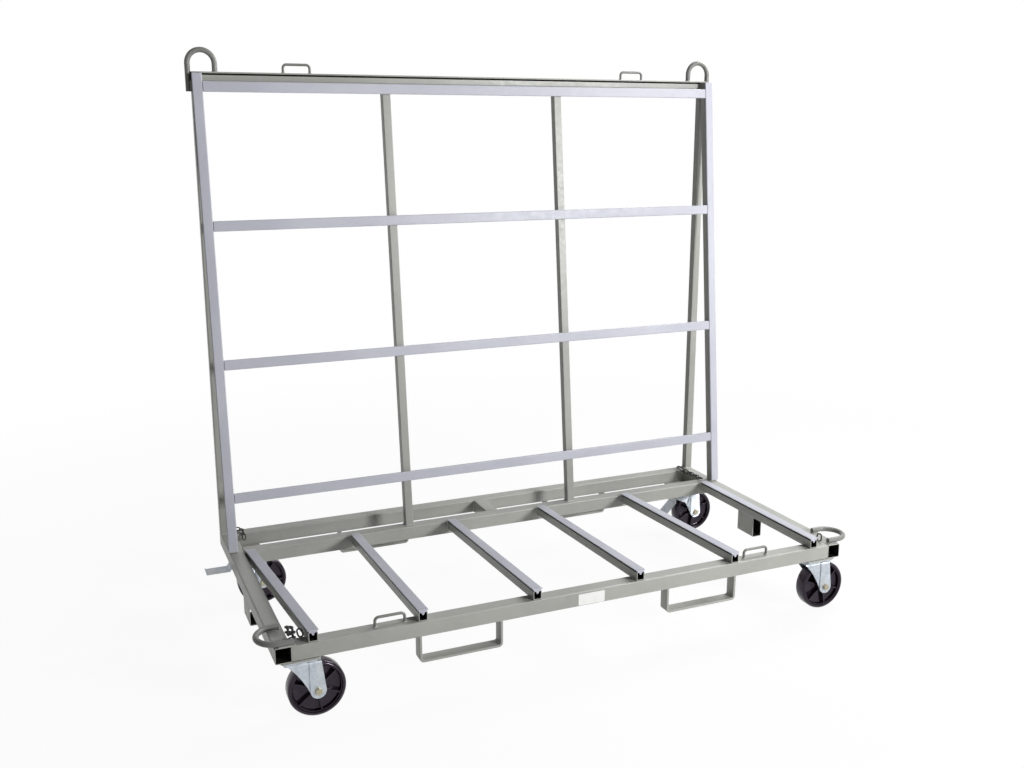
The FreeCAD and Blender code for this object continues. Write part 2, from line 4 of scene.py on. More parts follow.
import bmesh
import bpy
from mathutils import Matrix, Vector

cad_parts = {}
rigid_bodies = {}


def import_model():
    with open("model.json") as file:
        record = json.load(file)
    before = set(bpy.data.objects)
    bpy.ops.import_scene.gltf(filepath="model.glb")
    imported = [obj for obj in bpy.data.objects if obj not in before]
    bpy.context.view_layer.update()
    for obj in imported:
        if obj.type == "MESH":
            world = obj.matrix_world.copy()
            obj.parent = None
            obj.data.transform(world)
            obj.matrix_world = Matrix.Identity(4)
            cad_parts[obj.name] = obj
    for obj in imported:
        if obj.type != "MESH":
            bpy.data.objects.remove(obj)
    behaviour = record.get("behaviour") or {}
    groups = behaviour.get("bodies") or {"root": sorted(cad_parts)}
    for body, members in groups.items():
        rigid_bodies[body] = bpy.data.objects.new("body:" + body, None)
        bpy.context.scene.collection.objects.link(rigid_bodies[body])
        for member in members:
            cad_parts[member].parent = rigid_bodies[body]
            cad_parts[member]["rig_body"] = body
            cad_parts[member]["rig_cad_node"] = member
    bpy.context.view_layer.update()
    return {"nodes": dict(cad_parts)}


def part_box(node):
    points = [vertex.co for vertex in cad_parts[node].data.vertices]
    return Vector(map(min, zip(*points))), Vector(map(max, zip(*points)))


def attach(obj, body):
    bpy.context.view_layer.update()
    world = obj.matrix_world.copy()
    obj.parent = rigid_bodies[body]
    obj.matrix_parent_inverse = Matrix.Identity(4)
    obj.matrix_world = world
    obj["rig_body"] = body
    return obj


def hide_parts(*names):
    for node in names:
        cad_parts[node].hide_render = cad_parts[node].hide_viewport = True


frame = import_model()
mm = 0.001
mergeGap = 0.00001
facing = 0.9
print("frame loaded:", len(frame["nodes"]), "nodes")


# picking and shaping, as by hand
def pick(*pieces):
    bpy.ops.object.select_all(action="DESELECT")
    for piece in pieces:
        piece.select_set(True)
    bpy.context.view_layer.objects.active = pieces[-1]


def newest(name):
    piece = bpy.context.active_object
    piece.name = name
    piece.data.name = name
    return piece


def openEdit(piece, kind="FACE", chosen="DESELECT"):
    pick(piece)
    bpy.ops.object.mode_set(mode="EDIT")
    bpy.ops.mesh.select_mode(type=kind)
    bpy.ops.mesh.select_all(action=chosen)


def closeEdit():
    bpy.ops.object.mode_set(mode="OBJECT")


def chooseFaces(piece, test):
    mesh = bmesh.from_edit_mesh(piece.data)
    for face in mesh.faces:
        face.select_set(bool(test(face.calc_center_median(), face.normal)))
    bmesh.update_edit_mesh(piece.data)


def chooseEdges(piece, test):
    mesh = bmesh.from_edit_mesh(piece.data)
    for edge in mesh.edges:
        a, b = (v.co for v in edge.verts)
        edge.select_set(bool(test((a + b) / 2, (b - a).normalized())))
    bmesh.update_edit_mesh(piece.data)


def cleanMesh(piece):
    openEdit(piece, "VERT", "SELECT")
    bpy.ops.mesh.remove_doubles(threshold=mergeGap)
    bpy.ops.mesh.normals_make_consistent(inside=False)
    closeEdit()


def mergeFlats(piece, gap=mergeGap, angle=1):
    openEdit(piece, "VERT", "SELECT")
    bpy.ops.mesh.remove_doubles(threshold=gap)
    bpy.ops.mesh.dissolve_limited(angle_limit=math.radians(angle))
    closeEdit()


def addModifier(piece, kind, **settings):
    pick(piece)
    modifier = piece.modifiers.new(kind.lower(), kind)
    for key, value in settings.items():
        setattr(modifier, key, value)
    bpy.ops.object.modifier_apply(modifier=modifier.name)


def roundEdges(piece, width, segments=2, angle=25):
    addModifier(piece, "BEVEL", width=width, segments=segments, limit_method="ANGLE",
                angle_limit=math.radians(angle), use_clamp_overlap=True)


def smooth(piece, angle=40, weighted=True):
    pick(piece)
    bpy.ops.object.shade_smooth_by_angle(angle=math.radians(angle))
    if weighted:
        addModifier(piece, "WEIGHTED_NORMAL", keep_sharp=True, weight=60)


def settle(piece):
    pick(piece)
    bpy.ops.object.transform_apply(location=True, rotation=True, scale=True)


def joinPieces(name, pieces):
    pick(*pieces)
    if len(pieces) > 1:
        bpy.ops.object.join()
    return newest(name)


def copyTo(piece, name, shift, turn=(0, 0, 0)):
    pick(piece)
    bpy.ops.object.duplicate()
    copy = newest(name)
    copy.location = shift
    copy.rotation_euler = turn
    settle(copy)
    return copy


def cube(name, low, high):
    bpy.ops.object.select_all(action="DESELECT")
    middle = [(a + b) / 2 for a, b in zip(low, high)]
    bpy.ops.mesh.primitive_cube_add(size=1, location=middle)
    piece = newest(name)
    piece.scale = [b - a for a, b in zip(low, high)]
    settle(piece)
    return piece


def dress(piece, finish, slot, body, *nodes):
    piece.data.materials.clear()
    piece.data.materials.append(finish)
    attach(piece, body)
    if nodes:
        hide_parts(*nodes)


# faces in bores, grooves and recesses get a near-black finish: painted shade, with bare steel inside the
# tubes
def paintRecessShade(piece, test):
    piece.data.materials.append(recessShadeCoat)
    for face in piece.data.polygons:
        if test(face.center / mm, face.normal):
            face.material_index = 1


# a line drawn point by point, then turned round an axis
def drawLine(name, points):
    bpy.ops.object.select_all(action="DESELECT")
    bpy.ops.mesh.primitive_plane_add(size=mm, location=points[0])
    piece = newest(name)
    settle(piece)
    openEdit(piece, "VERT", "SELECT")
    bpy.ops.mesh.merge(type="CENTER")
    for near, far in zip(points, points[1:]):
        step = Vector(far) - Vector(near)
        bpy.ops.mesh.extrude_vertices_move(TRANSFORM_OT_translate={"value": step})
    closeEdit()
    return piece


def turned(name, profile, centre, axis, steps):
    piece = drawLine(name, profile)
    openEdit(piece, "VERT", "SELECT")
    bpy.ops.mesh.spin(steps=steps, angle=2 * math.pi, center=centre, axis=axis)
    closeEdit()
    cleanMesh(piece)
    return piece


# a closed outline filled and pushed by a step
def pushed(name, outline, step):
    points = [Vector(point) * mm for point in outline]
    piece = drawLine(name, points + points[:1])
    openEdit(piece, "VERT", "SELECT")
    bpy.ops.mesh.remove_doubles(threshold=mergeGap)
    bpy.ops.mesh.edge_face_add()
    bpy.ops.mesh.extrude_region_move(TRANSFORM_OT_translate={"value": Vector(step) * mm})
    closeEdit()
    cleanMesh(piece)
    return piece


# a flat ring pushed along straight runs and round bends, its ends closed
def bentBar(piece, moves):
    openEdit(piece, "VERT", "SELECT")
    for kind, *how in moves:
        if kind == "run":
            bpy.ops.mesh.extrude_region_move(TRANSFORM_OT_translate={"value": how[0]})
        else:
            centre, axis, angle, steps = how
            bpy.ops.mesh.spin(steps=steps, angle=angle, center=centre, axis=axis)
    bpy.ops.mesh.select_all(action="SELECT")
    bpy.ops.mesh.fill_holes(sides=0)
    closeEdit()
    cleanMesh(piece)
    return piece


# one run up or down, one across and one back, with quarter bends between
def bridgeMoves(left, right, plane, foot, crest, bend, steps):
    sign = 1 if crest > foot else -1
    level = crest - sign * bend
    rise = (level - foot) * mm
    across = (right - left - 2 * bend) * mm
    turns = [Vector((x, plane, level)) * mm for x in (left + bend, right - bend)]
    bends = [("bend", turn, (0, -sign, 0), math.pi / 2, steps) for turn in turns]
    return [("run", (0, 0, rise)), bends[0], ("run", (across, 0, 0)), bends[1], ("run", (0, 0, -rise))]


def ringAt(name, radius, sides, place, turn=(0, 0, 0)):
    bpy.ops.object.select_all(action="DESELECT")
    bpy.ops.mesh.primitive_circle_add(vertices=sides, radius=radius, location=place, rotation=turn)
    piece = newest(name)
    settle(piece)
    return piece


# camera where the photo was taken
camera = {
    "place": (-1.49255, -3.31293, 1.69593),
    "ahead": (0.388, 0.8934, -0.2261),
    "lens": 37.75,
    "shift": (0.0004, -0.0059),
    "sensor": 36,
}
bpy.ops.object.camera_add(location=camera["place"])
viewer = bpy.context.active_object
viewer.name = "photo_camera"
viewer.rotation_euler = Vector(camera["ahead"]).to_track_quat("-Z", "Y").to_euler()
viewer.data.sensor_width = camera["sensor"]
viewer.data.lens = camera["lens"]
viewer.data.shift_x, viewer.data.shift_y = camera["shift"]
bpy.context.scene.camera = viewer
bpy.context.scene.view_settings.view_transform = "Standard"
print("camera set")


# one socket of a node tree, with the maths it can do
class Wire:
    def __init__(self, tree, socket=None):
        self.tree = tree
        self.socket = socket

    def node(self, kind, settings=None, sockets=None, out=0):
        made = self.tree.nodes.new(kind)
        for key, value in (settings or {}).items():
            setattr(made, key, value)
        for key, value in (sockets or {}).items():
            self.feed(made.inputs[key], value)
        return Wire(self.tree, made.outputs[out])

    def feed(self, socket, value):
        if isinstance(value, Wire):
            self.tree.links.new(value.socket, socket)
        else:
            socket.default_value = value

    def maths(self, operation, left, right):
        return self.node("ShaderNodeMath", {"operation": operation}, {0: left, 1: right})

    def __add__(self, other):
        return self.maths("ADD", self, other)

    def __mul__(self, other):
        return self.maths("MULTIPLY", self, other)

    def __sub__(self, other):
        return self.maths("SUBTRACT", self, other)

    def __rsub__(self, other):
        return self.maths("SUBTRACT", other, self)


def mixColour(wire, share, first, second):
    sockets = {0: share, 6: first, 7: second}
    return wire.node("ShaderNodeMix", {"data_type": "RGBA"}, sockets, 2)


def stretch(value, low, high, first=0.0, last=1.0):
    sockets = {"Value": value, "From Min": low, "From Max": high, "To Min": first, "To Max": last}
    return value.node("ShaderNodeMapRange", {"clamp": True}, sockets)


def noise(place, scale, detail=2.0, rough=0.5):
    sockets = {"Vector": place, "Scale": scale, "Detail": detail, "Roughness": rough}
    return place.node("ShaderNodeTexNoise", {}, sockets)


def stretched(place, scale):
    return place.node("ShaderNodeMapping", {}, {"Vector": place, "Scale": scale})


def bump(height, strength, distance):
    sockets = {"Strength": strength, "Distance": distance, "Height": height}
    return height.node("ShaderNodeBump", {}, sockets)


def edgeMask(place, radius, low=0.02, high=0.25):
    rounded = place.node("ShaderNodeBevel", {"samples": 4}, {"Radius": radius})
    plain = place.node("ShaderNodeNewGeometry", out="Normal")
    sockets = {0: rounded, 1: plain}
    level = place.node("ShaderNodeVectorMath", {"operation": "DOT_PRODUCT"}, sockets, "Value")
    return stretch(1 - level, low, high)


def startFinish(name):
    material = bpy.data.materials.new(name)
    material.use_nodes = True
    wire = Wire(material.node_tree)
    place = wire.node("ShaderNodeTexCoord", out="Object")
    return material, place


def endFinish(material, place, sockets):
    shader = material.node_tree.nodes["Principled BSDF"]
    for key, value in sockets.items():
        place.feed(shader.inputs[key], value)
    return material


# satin powder coat on all welded steel
paint = {
    "light": (0.37, 0.375, 0.345, 1),
    "dark": (0.31, 0.313, 0.29, 1),
    "rubbed": (0.48, 0.48, 0.46, 1),
}
# the frame paint darkened on the round bars: painted shade for how dark the thin bars show
shadedBarPaint = {
    "light": (0.2, 0.203, 0.19, 1),
    "dark": (0.165, 0.167, 0.157, 1),
    "rubbed": (0.27, 0.27, 0.26, 1),
}


def paintFinish(name, wear, tones):
    material, place = startFinish(name)
    cloud = stretch(noise(place, 2.6, 4), 0.36, 0.64)
    grain = noise(place, 1400, 1)
    peel = noise(place, 240, 2)
    dust = stretch(noise(place, 34, 5, 0.65), 0.52, 0.7)
    worn = edgeMask(place, 0.003) * stretch(noise(place, 46, 3), 0.42, 0.62, 0.0, wear)
    colour = mixColour(place, cloud, tones["dark"], tones["light"])
    colour = mixColour(place, dust * 0.14, colour, tones["rubbed"])
    colour = mixColour(place, worn, colour, tones["rubbed"])
    height = peel * 0.7 + grain * 0.3
    return endFinish(material, place, {
        "Base Color": colour,
        "Roughness": stretch(noise(place, 60, 3), 0.3, 0.7, 0.34, 0.44) - worn * 0.13,
        "Normal": bump(height, 0.05, 0.0004),
        "Specular IOR Level": 0.45,
    })


# the same coat over the weld beads, glossier where it ran thin, with paler spots partly standing in for
# glints as painted highlight
def weldFinish():
    material, place = startFinish("weld_finish")
    spatterAndGlint = stretch(noise(place, 160, 4, 0.7), 0.4, 0.65)
    return endFinish(material, place, {
        "Base Color": mixColour(place, spatterAndGlint, paint["light"], paint["rubbed"]),
        "Roughness": stretch(noise(place, 220, 3), 0.3, 0.7, 0.2, 0.36),
        "Normal": bump(noise(place, 700, 3), 0.15, 0.0004),
        "Specular IOR Level": 0.6,
    })


# soft grey plastic of the buffer strips
bufferShade = {
    "light": (0.505, 0.51, 0.572, 1),
    "dark": (0.445, 0.452, 0.515, 1),
    "scuff": (0.3, 0.31, 0.34, 1),
}


def bufferFinish():
    material, place = startFinish("buffer_finish")
    cloud = stretch(noise(place, 3.4, 3), 0.35, 0.65)
    speck = noise(place, 700, 2)
    rubs = stretch(noise(stretched(place, (14, 60, 60)), 3, 4, 0.6), 0.6, 0.78)
    marks = stretch(noise(place, 90, 4, 0.7), 0.64, 0.76)
    colour = mixColour(place, cloud, bufferShade["dark"], bufferShade["light"])
    colour = mixColour(place, rubs * 0.12 + marks * 0.16, colour, bufferShade["scuff"])
    return endFinish(material, place, {
        "Base Color": colour,
        "Roughness": stretch(noise(place, 40, 3), 0.3, 0.7, 0.38, 0.5),
        "Normal": bump(speck, 0.03, 0.0003),
        "Specular IOR Level": 0.4,
    })


# zinc plate, bright on forks and plates, duller on the pedals
zinc = {
    "light": (0.54, 0.58, 0.625, 1),
    "dark": (0.42, 0.455, 0.5, 1),
    "tint": (0.56, 0.57, 0.55, 1),
}
pedalZinc = {
    "light": (0.4, 0.43, 0.46, 1),
    "dark": (0.29, 0.31, 0.34, 1),
    "tint": (0.42, 0.42, 0.4, 1),
}


def zincFinish(name, shades):
    material, place = startFinish(name)
    spangle = place.node("ShaderNodeTexVoronoi", {"feature": "SMOOTH_F1"},
                         {"Vector": place, "Scale": 130.0, "Smoothness": 0.35}, "Color")
    shade = place.node("ShaderNodeRGBToBW", {}, {"Color": spangle})
    cloud = noise(place, 28, 4, 0.6)
    tint = stretch(noise(place, 17, 3), 0.52, 0.72)
    streak = noise(stretched(place, (500, 500, 30)), 1, 3)
    blend = stretch(shade * 0.4 + cloud * 0.6, 0.3, 0.7)
    colour = mixColour(place, blend, shades["dark"], shades["light"])
    colour = mixColour(place, tint * 0.4, colour, shades["tint"])
    return endFinish(material, place, {
        "Base Color": colour,
        "Metallic": stretch(cloud, 0.3, 0.7, 0.72, 0.86),
        "Roughness": stretch(shade * 0.5 + streak * 0.5, 0.3, 0.7, 0.34, 0.5),
        "Normal": bump(streak, 0.05, 0.0002),
    })


# glossy moulded wheel plastic with a purple tinge
wheelShade = {
    "deep": (0.005, 0.0035, 0.0055, 1),
    "warm": (0.014, 0.0095, 0.015, 1),
    "dust": (0.085, 0.078, 0.088, 1),
    "shine": (0.94, 0.78, 1, 1),
}


def wheelFinish():
    material, place = startFinish("wheel_finish")
    swirl = stretch(noise(place, 30, 4, 0.6), 0.35, 0.65)
    film = stretch(noise(place, 85, 5, 0.7), 0.56, 0.75)
    worn = edgeMask(place, 0.002) * stretch(noise(place, 70, 3), 0.45, 0.65)
    colour = mixColour(place, swirl, wheelShade["deep"], wheelShade["warm"])
    colour = mixColour(place, film * 0.1 + worn * 0.2, colour, wheelShade["dust"])
    return endFinish(material, place, {
        "Base Color": colour,
        "Roughness": stretch(noise(place, 50, 3), 0.3, 0.7, 0.12, 0.24) + film * 0.15,
        "Normal": bump(noise(place, 320, 2), 0.05, 0.0003),
        "Specular IOR Level": 0.42,
        "Specular Tint": wheelShade["shine"],
    })


# yellow passivated bolts
yellowZinc = {
    "gold": (0.47, 0.4, 0.27, 1),
    "green": (0.37, 0.38, 0.29, 1),
    "rose": (0.44, 0.34, 0.27, 1),
}


def yellowFinish():
    material, place = startFinish("yellow_zinc_finish")
    drift = noise(place, 120, 3)
    colour = mixColour(place, stretch(drift, 0.4, 0.62), yellowZinc["gold"], yellowZinc["green"])
    colour = mixColour(place, stretch(noise(place, 190, 2), 0.55, 0.7), colour, yellowZinc["rose"])
    return endFinish(material, place, {
        "Base Color": colour,
        "Metallic": 0.9,
        "Roughness": stretch(noise(place, 300, 3), 0.3, 0.7, 0.28, 0.44),
        "Normal": bump(noise(place, 900, 2), 0.06, 0.0002),
    })


# blackened chain
chainShade = {"black": (0.014, 0.014, 0.016, 1), "bare": (0.3, 0.29, 0.28, 1)}


def chainFinish():
    material, place = startFinish("chain_finish")
    rub = stretch(noise(place, 260, 4, 0.7), 0.52, 0.72)
    colour = mixColour(place, rub * 0.5, chainShade["black"], chainShade["bare"])
    return endFinish(material, place, {
        "Base Color": colour,
        "Metallic": stretch(rub, 0.0, 1.0, 0.4, 0.9),
        "Roughness": stretch(noise(place, 400, 3), 0.3, 0.7, 0.3, 0.5),
        "Normal": bump(noise(place, 1200, 2), 0.1, 0.0002),
    })


# sintered bush in the wheel hub
bushShade = {"light": (0.56, 0.41, 0.22, 1), "dark": (0.36, 0.25, 0.13, 1)}


def bushFinish():
    material, place = startFinish("bush_finish")
    pores = noise(place, 1500, 3)
    colour = mixColour(place, stretch(pores, 0.35, 0.65), bushShade["dark"], bushShade["light"])
    return endFinish(material, place, {
        "Base Color": colour,
        "Metallic": 0.85,
        "Roughness": stretch(pores, 0.3, 0.7, 0.35, 0.55),
        "Normal": bump(pores, 0.1, 0.0002),
    })


# white stock of the blank plate
plateShade = {"white": (0.83, 0.83, 0.82, 1), "aged": (0.74, 0.73, 0.69, 1)}


def plateFinish():
    material, place = startFinish("blank_plate_finish")
    soil = stretch(noise(place, 55, 4, 0.6), 0.45, 0.7)
    colour = mixColour(place, soil * 0.4, plateShade["white"], plateShade["aged"])
    return endFinish(material, place, {
        "Base Color": colour,
        "Roughness": stretch(noise(place, 200, 3), 0.3, 0.7, 0.3, 0.42),
        "Normal": bump(noise(place, 800, 2), 0.05, 0.0002),
    })


# near-black painted shade for bores, grooves and recesses, with a rust tone for the bare steel inside the
# tubes
recessShadeTones = {"dark": (0.008, 0.008, 0.008, 1), "rust": (0.03, 0.024, 0.02, 1)}


def recessShadeFinish():
    material, place = startFinish("recess_painted_shade_finish")
    scale = stretch(noise(place, 45, 4, 0.65), 0.42, 0.68)
    return endFinish(material, place, {
        "Base Color": mixColour(place, scale, recessShadeTones["dark"], recessShadeTones["rust"]),
        "Roughness": stretch(noise(place, 120, 3), 0.3, 0.7, 0.7, 0.9),
        "Normal": bump(noise(place, 500, 3), 0.2, 0.0004),
        "Specular IOR Level": 0.1,
    })


paintCoat = paintFinish("frame_paint_finish", 0.45, paint)
# round bars: the frame paint darkened as painted shade
shadedBarCoat = paintFinish("round_bar_painted_shade_finish", 0.05, shadedBarPaint)
weldCoat = weldFinish()
bufferCoat = bufferFinish()
zincCoat = zincFinish("zinc_finish", zinc)
pedalCoat = zincFinish("pedal_finish", pedalZinc)
wheelCoat = wheelFinish()
yellowCoat = yellowFinish()
chainCoat = chainFinish()
bushCoat = bushFinish()
plateCoat = plateFinish()
recessShadeCoat = recessShadeFinish()
print("finishes made")

# floor, white surround and soft lamps
studio = {
    "floorSize": 60,
    "floorDrop": 0.0006,
    "floorShade": (0.85, 0.85, 0.85, 1),
    "whiteShare": 0.94,
    "fadeFrom": 1.6,
    "fadeTo": 4.0,
    "fill": 0.06,
}
keyLamp = {"place": (2.8, -4.6, 2.15), "radius": 0.6, "power": 960}
topLamp = {"place": (2.4, 0.5, 2.9), "aim": (0.6, -0.2, 0.3), "size": 1.8, "power": 106}


def seenRays(wire):
    rays = wire.node("ShaderNodeLightPath")
    outputs = rays.socket.node.outputs
    names = ("Is Camera Ray", "Is Glossy Ray", "Is Transmission Ray")
    seen = [Wire(wire.tree, outputs[name]) for name in names]
    return stretch(seen[0] + seen[1] + seen[2], 0, 1)


bpy.ops.object.select_all(action="DESELECT")
bpy.ops.mesh.primitive_plane_add(size=studio["floorSize"], location=(0, 0, -studio["floorDrop"]))
floor = newest("studio_floor")
floorMaterial = bpy.data.materials.new("floor_finish")
floorMaterial.use_nodes = True
wire = Wire(floorMaterial.node_tree)
matt = wire.node("ShaderNodeBsdfDiffuse", {}, {"Color": studio["floorShade"]})
glow = wire.node("ShaderNodeEmission", {}, {"Strength": 1.0})
spot = wire.node("ShaderNodeTexCoord", out="Object")
away = wire.node("ShaderNodeVectorMath", {"operation": "LENGTH"}, {0: spot}, "Value")
share = seenRays(wire) * stretch(away, studio["fadeFrom"], studio["fadeTo"], studio["whiteShare"], 1.0)
floorMix = wire.node("ShaderNodeMixShader", {}, {0: share, 1: matt, 2: glow})
wire.feed(floorMaterial.node_tree.nodes["Material Output"].inputs["Surface"], floorMix)
floor.data.materials.append(floorMaterial)

world = bpy.context.scene.world or bpy.data.worlds.new("surround")
bpy.context.scene.world = world
world.use_nodes = True
wire = Wire(world.node_tree)
dim = wire.node("ShaderNodeBackground", {}, {"Color": (1, 1, 1, 1), "Strength": studio["fill"]})
white = wire.node("ShaderNodeBackground", {}, {"Color": (1, 1, 1, 1), "Strength": 1.0})
worldMix = wire.node("ShaderNodeMixShader", {}, {0: seenRays(wire), 1: dim, 2: white})
wire.feed(world.node_tree.nodes["World Output"].inputs["Surface"], worldMix)
bpy.ops.object.light_add(type="POINT", location=keyLamp["place"])
light = newest("key_lamp")
light.data.shadow_soft_size = keyLamp["radius"]
light.data.energy = keyLamp["power"]
bpy.ops.object.light_add(type="AREA", location=topLamp["place"])
light = newest("top_lamp")
aim = Vector(topLamp["aim"]) - Vector(topLamp["place"])
light.rotation_euler = aim.to_track_quat("-Z", "Y").to_euler()
light.data.size = topLamp["size"]
light.data.energy = topLamp["power"]
print("stage lit")


# prismatic steel and pads: the solid's own form with rounded edges
def looseCopy(node, name):
    pick(frame["nodes"][node])
    bpy.ops.object.duplicate()
    piece = newest(name)
    bpy.ops.object.parent_clear(type="CLEAR_KEEP_TRANSFORM")
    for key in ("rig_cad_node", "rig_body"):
        del piece[key]
    bpy.ops.mesh.customdata_custom_splitnormals_clear()
    return piece


def roundedCopy(node, width):
    piece = looseCopy(node, node + "_shaped")
    mergeFlats(piece)
    roundEdges(piece, width)
    smooth(piece)
    return piece


corners = ("front_left", "front_right", "rear_left", "rear_right")
coats = {"frame_paint": paintCoat, "buffer_grey": bufferCoat, "zinc": zincCoat}
softened = {
    "frame_paint": {
        1.2: ["front_beam", "middle_beam", "rear_beam", "rear_tie", "left_side_beam", "right_side_beam"],
        0.8: ["left_upright", "right_upright", "left_rear_leg", "right_rear_leg", "left_mid_post",
              "right_mid_post", "side_sockets", "corner_plates"],
        0.5: ["lower_rung", "middle_rung", "upper_rung", "top_rung"],
    },
    "buffer_grey": {1.1: ["rung_buffers", "upright_buffers"]},
    "zinc": {0.8: ["caster_plates", "kingpins", "caster_nuts", "swivel_bearings"]},
}
# tubes whose inside shows, painted near-black as shade, with the axis each runs along
tubeWays = {"front_beam": 0, "middle_beam": 0, "rear_beam": 0, "left_side_beam": 1, "right_side_beam": 1}
tubeSkin = 2
socket = {"inner": 955, "outer": 995, "low": 133, "high": 213}
# caster parts, with the body each rides on
smallParts = {
    "axle_bolt": {"edge": 0.6, "coat": yellowCoat, "slot": "yellow_zinc", "rides": "_fork"},
    "wheel_bush": {"edge": 0.4, "coat": bushCoat, "slot": "bush_bronze", "rides": "_wheel"},
    "brake_pedal": {"edge": 0.8, "coat": pedalCoat, "slot": "zinc", "rides": "_pedal"},
    "brake_pin": {"edge": 0.5, "coat": yellowCoat, "slot": "yellow_zinc", "rides": "_fork"},
}


# a face beside a run along the axis, not one of its ends
def alongside(normal, way=1):
    return abs(normal[way]) < 0.5


def insideSocket(middle, normal):
    across = socket["inner"] + tubeSkin < abs(middle.x) < socket["outer"] - tubeSkin
    between = socket["low"] + tubeSkin < middle.z < socket["high"] - tubeSkin
    return across and between and alongside(normal)


def insideTube(node, way):
    low, high = (Vector(corner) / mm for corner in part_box(node))
    across = [i for i in range(3) if i != way]

    def test(middle, normal):
        inner = all(low[i] + tubeSkin < middle[i] < high[i] - tubeSkin for i in across)
        return inner and alongside(normal, way)
    return test


def fitPart(corner, part):
    kind = smallParts[part]
    node = corner + "_" + part
    piece = roundedCopy(node, kind["edge"] * mm)
    dress(piece, kind["coat"], kind["slot"], corner + kind["rides"], node)


for slot, widths in softened.items():
    for width, nodes in widths.items():
        for node in nodes:
            piece = roundedCopy(node, width * mm)
            dress(piece, coats[slot], slot, "frame", node)
            # painted shade inside the tube bores and the sockets
            if node in tubeWays:
                paintRecessShade(piece, insideTube(node, tubeWays[node]))
            if node == "side_sockets":
                paintRecessShade(piece, insideSocket)
for corner in corners:
    for part in ("axle_bolt", "wheel_bush"):
        fitPart(corner, part)
for corner in corners[2:]:
    for part in ("brake_pedal", "brake_pin"):
        fitPart(corner, part)
print("rounded copies done")

# top beam: the cap strip stands off the tube over a deepened groove, painted near-black inside as shade
topBeam = {"tubeTop": 1872, "grooveTop": 1874.5, "deepen": 5, "slack": 1, "edge": 0.8,
           "front": 465, "shadeDepth": 12, "shadeFrom": 1869.5, "shadeTo": 1875}


def topBeamPiece():
    piece = looseCopy("top_beam", "top_beam_shaped")
    mergeFlats(piece)
    openEdit(piece, "FACE", "SELECT")
    middle = (topBeam["tubeTop"] + topBeam["grooveTop"]) / 2 * mm
    slack = topBeam["slack"] * mm
    for sign in (-1, 1):
        chooseFaces(piece, lambda spot, normal: abs(spot.z - middle) < slack and normal.y * sign > facing)
        bpy.ops.transform.translate(value=(0, -sign * topBeam["deepen"] * mm, 0))
    closeEdit()
    roundEdges(piece, topBeam["edge"] * mm)
    smooth(piece)
    return piece


def inGroove(middle, normal):
    level = topBeam["shadeFrom"] < middle.z < topBeam["shadeTo"]
    return level and abs(middle.y - topBeam["front"]) < topBeam["shadeDepth"]


piece = topBeamPiece()
dress(piece, paintCoat, "frame_paint", "frame", "top_beam")
# painted shade in the groove
paintRecessShade(piece, inGroove)
print("top beam grooved")

# deck strips: channel rails and the pads plugged into them, drawn at the front and pushed to the rear
strip = {
    "front": -493, "rear": 267, "base": 263.9, "drop": 29.9, "slack": 0.2,
    "fronts": (-887, -555, -179, 190, 558, 887),
    "rears": (-932, -555, -185, 185, 555, 932),
}
rail = {"half": 14, "wall": 2.5, "height": 27, "edge": 0.5, "sole": 1}
deckPad = {"half": 17, "crest": 36, "brim": 33.2, "neck": 12.5, "seat": 27, "root": 6, "tip": 2,
           "tipLevel": 19, "round": 2, "near": 1, "edge": 0.4, "edgeAngle": 40}


def mirrorLine(half):
    return half + [(-x, z) for x, z in reversed(half)]


def layStrip(name, outline, i):
    start = [(strip["fronts"][i] + x, strip["front"], strip["base"] + z) for x, z in outline]
    step = (strip["rears"][i] - strip["fronts"][i], strip["rear"] - strip["front"], -strip["drop"])
    return pushed(name, start, step)


def shareOf(middle):
    return (middle.y - strip["front"]) / (strip["rear"] - strip["front"])


def heightOn(middle):
    return middle.z - strip["base"] + strip["drop"] * shareOf(middle)


def railPiece(i):
    outer, inner, top, floorLevel = rail["half"], rail["half"] - rail["wall"], rail["height"], rail["wall"]
    outline = mirrorLine([(outer, 0), (outer, top), (inner, top), (inner, floorLevel)])
    piece = layStrip("deck_rail_%d_shaped" % (i + 1), outline, i)
    roundEdges(piece, rail["edge"] * mm)
    smooth(piece)
    return piece


def inChannel(i):
    slant = strip["rears"][i] - strip["fronts"][i]

    def test(middle, normal):
        off = middle.x - strip["fronts"][i] - slant * shareOf(middle)
        inner = abs(off) < rail["half"] - rail["wall"] + strip["slack"]
        return inner and alongside(normal) and heightOn(middle) > rail["sole"]
    return test


def padPiece(i):
    p = deckPad
    outline = mirrorLine([(p["half"], p["crest"]), (p["half"], p["brim"]), (p["neck"], p["brim"]),
                          (p["neck"], p["seat"]), (p["root"], p["seat"]), (p["tip"], p["tipLevel"])])
    piece = layStrip("deck_pad", outline, i)
    crestLevel = (strip["base"] - strip["drop"] / 2 + p["crest"] - p["near"]) * mm
    openEdit(piece, "EDGE")
    chooseEdges(piece, lambda middle, way: abs(way.y) > facing and middle.z > crestLevel)
    bpy.ops.mesh.bevel(offset=p["round"] * mm, segments=3)
    closeEdit()
    roundEdges(piece, p["edge"] * mm, angle=p["edgeAngle"])
    smooth(piece)
    return piece


def underBrim(middle, normal):
    return heightOn(middle) < deckPad["brim"] + strip["slack"] and alongside(normal)


for i in range(len(strip["fronts"])):
    node = "deck_rail_%d" % (i + 1)
    piece = railPiece(i)
    dress(piece, paintCoat, "frame_paint", "frame", node)
    # painted shade on the channel's inner faces
    paintRecessShade(piece, inChannel(i))
piece = joinPieces("deck_buffers_shaped", [padPiece(i) for i in range(len(strip["fronts"]))])
dress(piece, bufferCoat, "buffer_grey", "frame", "deck_buffers")
# painted shade on the pad's neck under the brim
paintRecessShade(piece, underBrim)
print("deck strips laid")


